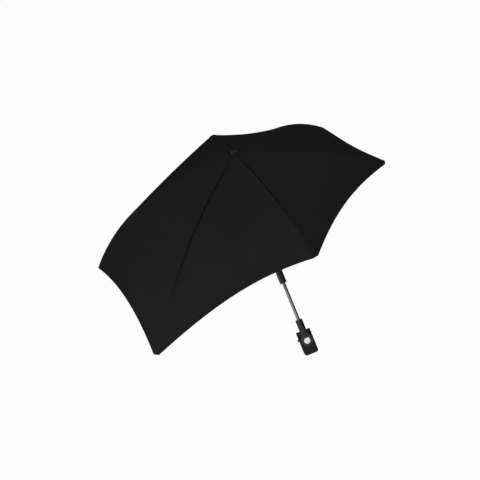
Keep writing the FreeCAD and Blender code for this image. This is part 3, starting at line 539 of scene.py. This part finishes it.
class Finish:
    """A procedural material under construction: its nodes, links and main shader."""

    def __init__(self, name):
        self.material = bpy.data.materials.new(name)
        self.material.use_nodes = True
        self.nodes = self.material.node_tree.nodes
        self.links = self.material.node_tree.links
        self.shader = self.nodes["Principled BSDF"]

    def set(self, **sockets):
        """Sets constants on the shader's own sockets, named with underscores for spaces."""
        for name, value in sockets.items():
            self.shader.inputs[name.replace("_", " ")].default_value = value

    def node(self, kind, **settings):
        """Adds a node and sets its properties."""
        node = self.nodes.new(kind)
        for name, value in settings.items():
            setattr(node, name, value)
        return node

    def feed(self, target, value):
        """Links an output to a socket, or sets the socket to a number."""
        if isinstance(value, bpy.types.NodeSocket):
            self.links.new(value, target)
        else:
            target.default_value = value

    def math(self, operation, first, second=0.0):
        """Adds a math node on one or two values."""
        node = self.node("ShaderNodeMath", operation=operation)
        self.feed(node.inputs[0], first)
        self.feed(node.inputs[1], second)
        return node.outputs[0]

    def place(self, stretch=1.0, turn=0.0):
        """Object coordinates turned back about X, so that Z runs along a leaning piece, and stretched along it."""
        source = self.node("ShaderNodeTexCoord")
        mapping = self.node("ShaderNodeMapping", vector_type="TEXTURE")
        mapping.inputs["Rotation"].default_value = (turn, 0.0, 0.0)
        mapping.inputs["Scale"].default_value = (1.0, 1.0, stretch)
        self.links.new(source.outputs["Object"], mapping.inputs["Vector"])
        return mapping.outputs["Vector"]

    def noise(self, vector, scale, detail=3.0, roughness=0.55):
        """A noise pattern between 0 and 1."""
        node = self.node("ShaderNodeTexNoise")
        self.links.new(vector, node.inputs["Vector"])
        node.inputs["Scale"].default_value = scale
        node.inputs["Detail"].default_value = detail
        node.inputs["Roughness"].default_value = roughness
        return node.outputs["Fac"]

    def between(self, value, low, high, start=0.0, end=1.0):
        """Maps a value from start..end to low..high, and holds it there."""
        node = self.node("ShaderNodeMapRange", clamp=True)
        self.feed(node.inputs["Value"], value)
        node.inputs["From Min"].default_value = start
        node.inputs["From Max"].default_value = end
        node.inputs["To Min"].default_value = low
        node.inputs["To Max"].default_value = high
        return node.outputs["Result"]

    def tint(self, value, dark, light):
        """A colour between two, by a value from 0 to 1."""
        node = self.node("ShaderNodeValToRGB")
        self.feed(node.inputs["Fac"], value)
        node.color_ramp.elements[0].color = (*dark, 1.0)
        node.color_ramp.elements[1].color = (*light, 1.0)
        return node.outputs["Color"]

    def bump(self, height, strength, distance):
        """Gives the shader a bump from a height."""
        node = self.node("ShaderNodeBump")
        node.inputs["Strength"].default_value = strength
        node.inputs["Distance"].default_value = distance
        self.links.new(height, node.inputs["Height"])
        self.links.new(node.outputs["Normal"], self.shader.inputs["Normal"])

    def colour(self, output):
        """Gives the shader its colour from an output."""
        self.links.new(output, self.shader.inputs["Base Color"])

    def roughness(self, output):
        """Gives the shader its roughness from an output."""
        self.links.new(output, self.shader.inputs["Roughness"])


def shade(colour, factor):
    """A colour made darker or lighter by a factor."""
    return tuple(min(1.0, channel * factor) for channel in colour)


def woven_cloth(name, colour, seam_shade_depth, length):
    """Plain-woven umbrella cloth: threads over and under each other, and a dark line of painted shade along the seam's
    crease.

    The line fades out towards the hem and towards the crown, at the cloth's length from the hem. The tone is halved and
    the colour doubled, so that the cloth can be lighter than its colour in places.
    """
    finish = Finish(name)
    finish.set(Specular_IOR_Level=0.0)
    pattern = finish.node("ShaderNodeUVMap", uv_map="pattern")
    parts = finish.node("ShaderNodeSeparateXYZ")
    finish.links.new(pattern.outputs["UV"], parts.inputs[0])
    thread = math.pi / WEAVE_PITCH
    warp = finish.math("SINE", finish.math("MULTIPLY", parts.outputs["X"], thread))
    weft = finish.math("SINE", finish.math("MULTIPLY", parts.outputs["Y"], thread))
    over = finish.math("GREATER_THAN", finish.math("MULTIPLY", warp, weft), 0.0)
    warp_up = finish.math("MULTIPLY", finish.math("ABSOLUTE", warp), over)
    weft_up = finish.math("MULTIPLY", finish.math("ABSOLUTE", weft), finish.math("SUBTRACT", 1.0, over))
    weave = finish.math("ADD", warp_up, weft_up)
    beside = finish.math("ABSOLUTE", parts.outputs["X"])
    to_hem = finish.math("ABSOLUTE", parts.outputs["Y"])
    # The seam's dark line is painted shade in the seam's crease, faded out towards the hem and the crown.
    line = finish.math("MULTIPLY", finish.between(beside, seam_shade_depth, 0.0, *DARK_LINE),
                       finish.between(to_hem, 0.1, 1.0, *DARK_LINE_HEM))
    fade = [length - distance for distance in DARK_LINE_CROWN]
    line = finish.math("MULTIPLY", line, finish.between(to_hem, 1.0, 0.1, *fade))
    crease_shade = finish.math("SUBTRACT", 1.0, line)
    edge = finish.between(to_hem, 0.7, 1.0, *DARK_HEM)
    cloud = finish.between(finish.noise(finish.place(), scale=9.0, detail=4.0), low=0.86, high=1.12)
    threads = finish.between(weave, low=0.82, high=1.08)
    tone = finish.math("MULTIPLY", finish.math("MULTIPLY", crease_shade, edge), finish.math("MULTIPLY", cloud, threads))
    half = finish.math("MULTIPLY", tone, 0.5)
    finish.colour(finish.tint(half, dark=(0.0, 0.0, 0.0), light=shade(colour, 2.0)))
    finish.roughness(finish.between(weave, low=0.92, high=0.8))
    finish.bump(weave, strength=0.25, distance=0.0001)
    return finish.material


def sewing_thread(colour):
    """Twisted sewing thread with fine lines along it."""
    finish = Finish("sewing_thread")
    finish.set(Specular_IOR_Level=0.0)
    fibre = finish.noise(finish.place(), scale=2600.0, detail=2.0)
    finish.colour(finish.tint(fibre, dark=shade(colour, 0.6), light=shade(colour, 1.5)))
    finish.roughness(finish.between(fibre, low=0.45, high=0.7))
    finish.bump(fibre, strength=0.2, distance=0.00005)
    return finish.material


def moulded_plastic(name, colour, rough, grain, gloss=0.2):
    """Moulded plastic with a fine spark-eroded grain and slight cloudiness in its gloss."""
    finish = Finish(name)
    finish.set(Specular_IOR_Level=gloss)
    fine = finish.noise(finish.place(), scale=grain, detail=2.0, roughness=0.6)
    cloud = finish.noise(finish.place(), scale=60.0, detail=4.0)
    finish.colour(finish.tint(cloud, dark=shade(colour, 0.82), light=shade(colour, 1.2)))
    finish.roughness(finish.between(cloud, low=rough - 0.06, high=rough + 0.08))
    finish.bump(fine, strength=0.12, distance=0.00008)
    return finish.material


def drawn_tube(name, colour, rough, turn=0.0):
    """Bright drawn tube: fine lines along the pole that break up its reflections."""
    finish = Finish(name)
    finish.set(Metallic=1.0)
    lines = finish.noise(finish.place(stretch=50.0, turn=turn), scale=1500.0, detail=3.0, roughness=0.6)
    cloud = finish.noise(finish.place(), scale=25.0, detail=3.0)
    finish.colour(finish.tint(cloud, dark=shade(colour, 0.93), light=shade(colour, 1.05)))
    finish.roughness(finish.between(lines, low=rough - 0.05, high=rough + 0.1))
    finish.bump(lines, strength=0.04, distance=0.00003)
    return finish.material


def spun_silver(colour):
    """The round button's satin silver, with rings as from a lathe round the swivel's axis."""
    finish = Finish("spun_silver")
    finish.set(Metallic=1.0)
    parts = finish.node("ShaderNodeSeparateXYZ")
    finish.links.new(finish.place(), parts.inputs[0])
    square = finish.math("ADD", finish.math("MULTIPLY", parts.outputs["X"], parts.outputs["X"]),
                         finish.math("MULTIPLY", parts.outputs["Z"], parts.outputs["Z"]))
    rings = finish.math("SINE", finish.math("MULTIPLY", finish.math("SQRT", square), 2.0 * math.pi / RING_PITCH))
    cloud = finish.noise(finish.place(), scale=180.0, detail=3.0)
    finish.colour(finish.tint(cloud, dark=shade(colour, 0.92), light=shade(colour, 1.06)))
    finish.roughness(finish.between(cloud, low=0.3, high=0.42))
    finish.bump(finish.between(rings, low=0.0, high=1.0, start=-1.0, end=1.0), strength=0.1, distance=0.00004)
    return finish.material


def painted_rod(colour):
    """Painted steel rod: satin paint with a light orange-peel."""
    finish = Finish("painted_rod")
    finish.set(Specular_IOR_Level=0.45)
    peel = finish.noise(finish.place(), scale=900.0, detail=2.0)
    cloud = finish.noise(finish.place(), scale=40.0, detail=3.0)
    finish.colour(finish.tint(cloud, dark=shade(colour, 0.8), light=shade(colour, 1.25)))
    finish.roughness(finish.between(cloud, low=0.32, high=0.45))
    finish.bump(peel, strength=0.1, distance=0.00005)
    return finish.material


def pad_rubber(colour):
    """Matt rubber with a fine stipple."""
    finish = Finish("pad_rubber")
    finish.set(Specular_IOR_Level=0.3)
    cells = finish.node("ShaderNodeTexVoronoi")
    finish.links.new(finish.place(), cells.inputs["Vector"])
    cells.inputs["Scale"].default_value = 1400.0
    stipple = cells.outputs["Distance"]
    finish.colour(finish.tint(stipple, dark=shade(colour, 1.1), light=shade(colour, 0.75)))
    finish.roughness(finish.between(stipple, low=0.85, high=0.7))
    finish.bump(stipple, strength=0.3, distance=0.00012)
    return finish.material


def plain_floor():
    """The pale floor: lit as a matt surface, but nearly plain white to the camera, with the shadow faintly in it."""
    finish = Finish("plain_floor")
    finish.set(Base_Color=(0.8, 0.8, 0.8, 1.0), Roughness=0.9, Specular_IOR_Level=0.0)
    seen = finish.node("ShaderNodeLightPath")
    direct = finish.math("MAXIMUM", seen.outputs["Is Camera Ray"], seen.outputs["Is Glossy Ray"])
    direct = finish.math("MAXIMUM", direct, seen.outputs["Is Transmission Ray"])
    white = finish.node("ShaderNodeEmission")
    white.inputs["Color"].default_value = (1.0, 1.0, 1.0, 1.0)
    white.inputs["Strength"].default_value = 1.0
    mix = finish.node("ShaderNodeMixShader")
    finish.links.new(finish.math("MULTIPLY", direct, FLOOR_SEEN), mix.inputs["Fac"])
    finish.links.new(finish.shader.outputs["BSDF"], mix.inputs[1])
    finish.links.new(white.outputs["Emission"], mix.inputs[2])
    finish.links.new(mix.outputs["Shader"], finish.nodes["Material Output"].inputs["Surface"])
    return finish.material


def dark_card():
    """The matt dark cards beside the part, which draw the dark edges along the bright tube."""
    finish = Finish("dark_card")
    finish.set(Base_Color=(0.01, 0.01, 0.01, 1.0), Roughness=0.9, Specular_IOR_Level=0.0)
    return finish.material


def dress(material, *names):
    """Gives CAD nodes a finish in place of their plain one."""
    for name in names:
        piece = frame["nodes"][name]
        piece.data.materials.clear()
        piece.data.materials.append(material)


def numbered(*names):
    """The names with each rib's number put behind them."""
    return [f"{name}_{k + 1}" for name in names for k in range(RIB_COUNT)]


class PARASOL_OT_canopy(bpy.types.Operator):
    """Sews the canopy: six sheets that meet without a gap in the middle of each panel, and their stitching"""

    bl_idname = "parasol.canopy"
    bl_label = "Canopy"

    def execute(self, context):
        sizes = context.scene.parasol_canopy
        thread = context.scene.parasol_stitches
        colours = context.scene.parasol_colours
        sewing = sewing_thread(colours.thread)
        for k in range(RIB_COUNT):
            piece, area = sheet_of(k, sizes)
            # Painted shade along the seam: deep on the ribs whose creases fall into shade under this light, faint on
            # the others.
            depth = DEEP_SEAM_SHADE if k in SHADED_SEAMS else FAINT_SEAM_SHADE
            piece.data.materials.append(woven_cloth(f"woven_cloth_{k + 1}", colours.cloth, depth, panel_length(k)))
            sewn = stitching_of(k, sizes, thread)
            sewn.data.materials.append(sewing)
            for part in (piece, sewn):
                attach(part, f"rib_{k + 1}_body")
                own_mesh(part)
            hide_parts(f"canopy_sector_{k + 1}")
            float(panel_length(k))
        return {"FINISHED"}


class PARASOL_OT_frame(bpy.types.Operator):
    """Finishes the ribs, stretchers, crown, runner and finial"""

    bl_idname = "parasol.frame"
    bl_label = "Ribs, crown and runner"

    def execute(self, context):
        colours = context.scene.parasol_colours
        dress(painted_rod(colours.rod), *numbered("rib", "stretcher"))
        hubs = moulded_plastic("hub_plastic", colours.plastic, rough=0.42, grain=700.0)
        dress(hubs, "crown", "runner", "runner_button", *numbered("rib_cap", "rib_joint"))
        dress(moulded_plastic("finial_gloss", colours.plastic, rough=0.14, grain=300.0, gloss=0.02), "finial")
        pins = drawn_tube("pin_steel", colours.tube, rough=0.3)
        dress(pins, "crown_wire", "tilt_pin", "jaw_pin", "swivel_pin", "swivel_ring", *numbered("joint_rivet"))
        return {"FINISHED"}


class PARASOL_OT_pole(bpy.types.Operator):
    """Finishes the bright tubes and the tilting knee"""

    bl_idname = "parasol.pole"
    bl_label = "Pole and knee"

    def execute(self, context):
        colours = context.scene.parasol_colours
        dress(drawn_tube("bright_tube", colours.tube, rough=0.1), "lower_pole")
        dress(drawn_tube("bright_upper_tube", colours.tube, rough=0.1, turn=BEND), "upper_pole")
        knee = moulded_plastic("knee_plastic", shade(colours.plastic, 0.65), rough=0.32, grain=600.0, gloss=0.75)
        dress(knee, "tilt_lower", "tilt_upper", "tilt_button")
        return {"FINISHED"}


class PARASOL_OT_clip(bpy.types.Operator):
    """Finishes the clip, its pads and the swivelling arm with its round button"""

    bl_idname = "parasol.clip"
    bl_label = "Clip and swivel"

    def execute(self, context):
        colours = context.scene.parasol_colours
        clip = moulded_plastic("clip_plastic", shade(colours.plastic, 0.7), rough=0.4, grain=600.0, gloss=0.18)
        dress(clip, "clamp_body", "clamp_jaw")
        arm = moulded_plastic("arm_plastic", shade(colours.plastic, 0.65), rough=0.34, grain=600.0, gloss=0.45)
        dress(arm, "socket_arm")
        dress(pad_rubber(colours.rubber), "body_pad", "jaw_pad")
        dress(spun_silver(colours.silver), "swivel_button")
        return {"FINISHED"}


class PARASOL_OT_stage(bpy.types.Operator):
    """Sets up the floor, the dark cards, the even light, two lamps and the camera"""

    bl_idname = "parasol.stage"
    bl_label = "Stage"

    def execute(self, context):
        scene = context.scene
        sizes = scene.parasol_stage
        square = np.array(((-1, -1), (1, -1), (1, 1), (-1, 1))) * FLOOR_REACH
        corners = np.array([(x, y, sizes.floor_depth) for x, y in square])
        floor = mesh_object("floor", corners, [(0, 1, 2, 3)])
        floor.data.materials.append(plain_floor())
        black = dark_card()
        for name, x, near in CARDS:
            upright = ((near, CARD_LOW), (CARD_FAR, CARD_LOW), (CARD_FAR, CARD_HIGH), (near, CARD_HIGH))
            corners = np.array([(x, y, z) for y, z in upright])
            card = mesh_object(name, corners, [(0, 1, 2, 3)])
            card.data.materials.append(black)
            card.visible_camera = False
        self.light_all_round(scene, sizes.sky)
        key = self.lamp("key", sizes.key, Vector(KEY_PLACE))
        key.visible_glossy = False
        self.lamp("fill", sizes.fill, Vector(FILL_PLACE))
        data = bpy.data.cameras.new("camera")
        data.sensor_width = SENSOR_WIDTH
        data.lens = sizes.lens
        camera = bpy.data.objects.new("camera", data)
        camera.location = sizes.camera_place
        camera.rotation_euler = Euler(sizes.camera_turn, "XYZ")
        scene.collection.objects.link(camera)
        scene.camera = camera
        scene.view_settings.view_transform = "Standard"
        return {"FINISHED"}

    def light_all_round(self, scene, strength):
        """An even pale sky, plain white where the camera or a reflection sees it."""
        world = bpy.data.worlds.new("even_light")
        world.use_nodes = True
        nodes, links = world.node_tree.nodes, world.node_tree.links
        seen = nodes.new("ShaderNodeLightPath")
        direct = nodes.new("ShaderNodeMath")
        direct.operation = "MAXIMUM"
        links.new(seen.outputs["Is Camera Ray"], direct.inputs[0])
        links.new(seen.outputs["Is Glossy Ray"], direct.inputs[1])
        clear = nodes.new("ShaderNodeMath")
        clear.operation = "MAXIMUM"
        links.new(direct.outputs[0], clear.inputs[0])
        links.new(seen.outputs["Is Transmission Ray"], clear.inputs[1])
        level = nodes.new("ShaderNodeMapRange")
        links.new(clear.outputs[0], level.inputs["Value"])
        level.inputs["To Min"].default_value = strength
        level.inputs["To Max"].default_value = SKY_SEEN
        background = nodes["Background"]
        background.inputs["Color"].default_value = (1.0, 1.0, 1.0, 1.0)
        links.new(level.outputs["Result"], background.inputs["Strength"])
        scene.world = world

    def lamp(self, name, power, place):
        """A square soft lamp that faces the part."""
        data = bpy.data.lights.new(name, "AREA")
        data.energy = power
        data.size = LAMP_SIZE
        lamp = bpy.data.objects.new(name, data)
        lamp.visible_camera = False
        lamp.location = place
        lamp.rotation_euler = (Vector(LAMP_TARGET) - place).to_track_quat("-Z", "Y").to_euler()
        bpy.context.scene.collection.objects.link(lamp)
        return lamp


class PARASOL_PT_panel(bpy.types.Panel):
    """Lists the parasol's pieces and sizes"""

    bl_idname = "PARASOL_PT_panel"
    bl_label = "Pram parasol"
    bl_space_type = "VIEW_3D"
    bl_region_type = "UI"
    bl_category = "Parasol"

    def draw(self, context):
        layout = self.layout
        for operator in OPERATORS:
            layout.operator(operator.bl_idname)
        for name in GROUPS:
            group = getattr(context.scene, name)
            box = layout.box()
            for prop in group.__annotations__:
                box.prop(group, prop)


GROUPS = {
    "parasol_canopy": CanopySizes,
    "parasol_stitches": StitchSizes,
    "parasol_colours": FinishColours,
    "parasol_stage": StageSizes,
}
OPERATORS = (PARASOL_OT_canopy, PARASOL_OT_frame, PARASOL_OT_pole, PARASOL_OT_clip, PARASOL_OT_stage)
CLASSES = (*GROUPS.values(), *OPERATORS, PARASOL_PT_panel)


def register():
    """Registers the classes and puts the sizes on the scene."""
    for item in CLASSES:
        bpy.utils.register_class(item)
    for name, group in GROUPS.items():
        setattr(bpy.types.Scene, name, PointerProperty(type=group))


def unregister():
    """Takes the sizes and the classes away again."""
    for name in GROUPS:
        delattr(bpy.types.Scene, name)
    for item in reversed(CLASSES):
        bpy.utils.unregister_class(item)


def main():
    register()
    bpy.ops.parasol.canopy()
    bpy.ops.parasol.frame()
    bpy.ops.parasol.pole()
    bpy.ops.parasol.clip()
    bpy.ops.parasol.stage()


if __name__ == "__main__":
    main()
